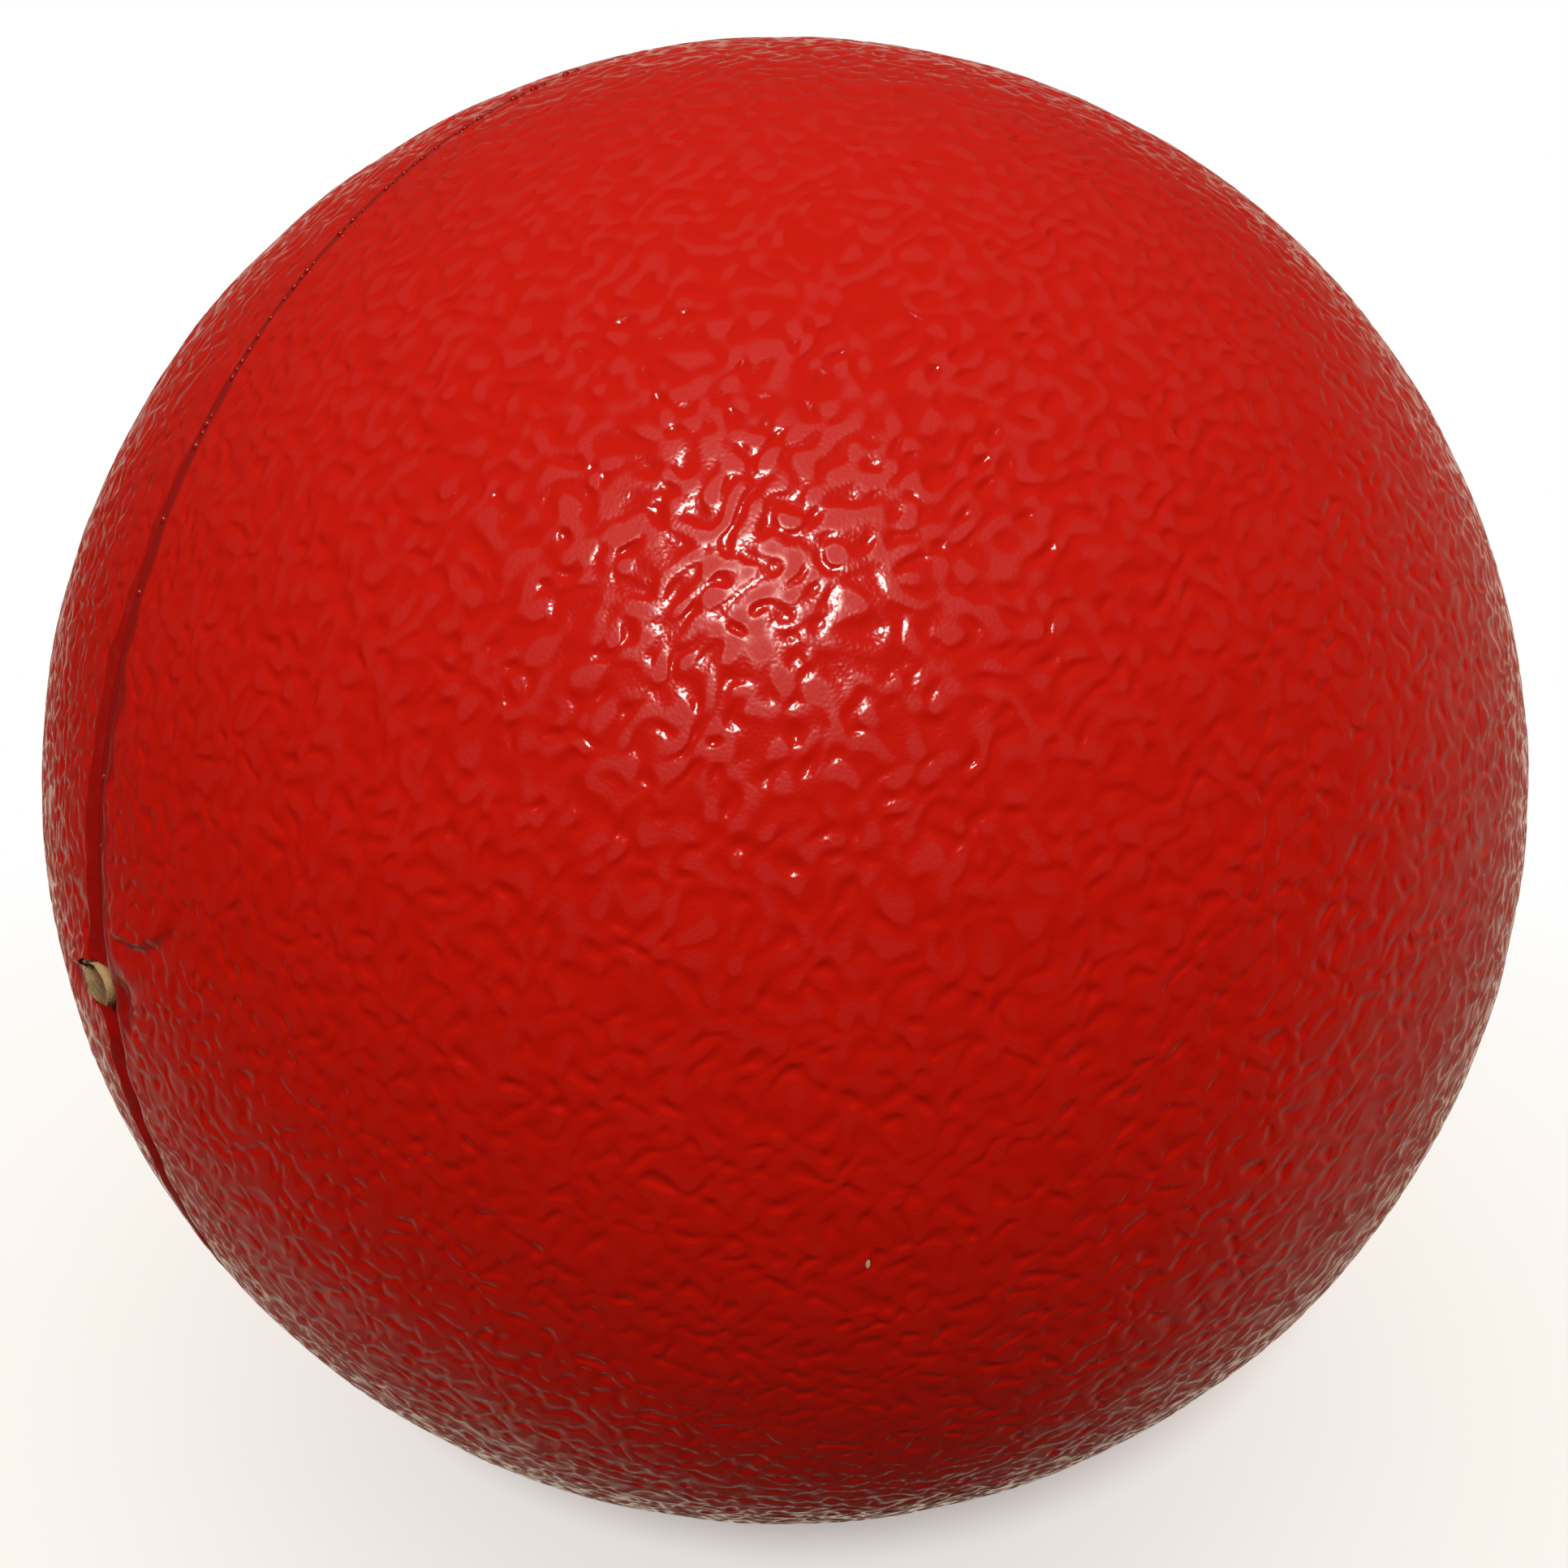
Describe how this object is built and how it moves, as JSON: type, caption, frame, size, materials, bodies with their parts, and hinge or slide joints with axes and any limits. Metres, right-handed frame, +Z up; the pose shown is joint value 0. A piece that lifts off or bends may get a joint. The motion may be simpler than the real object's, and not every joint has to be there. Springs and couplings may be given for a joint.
{
  "type": "dodgeball",
  "caption": "Soft throwing ball with a foam core in a glossy wrinkled skin, moulded in halves that are welded along a grooved seam with a trimmed pour gate.",
  "frame": {"origin": "centre of the ball", "axes": "+X out of the right skin half along the axis of the seam's circle, -Y out of the pour gate on the seam, +Z up"},
  "size_m": [0.178, 0.1779, 0.178],
  "materials": {
    "grained_skin": "moulded polyurethane skin, glossy, with a wrinkled hide grain",
    "smooth_skin": "polyurethane weld, glossy and smooth",
    "foam": "open-cell polyurethane foam, moulded, torn at the gate"
  },
  "bodies": {
    "root": {"foam_core": "foam", "right_skin_half": "grained_skin", "left_skin_half": "grained_skin", "seam_weld": "smooth_skin"}
  },
  "joints": []
}
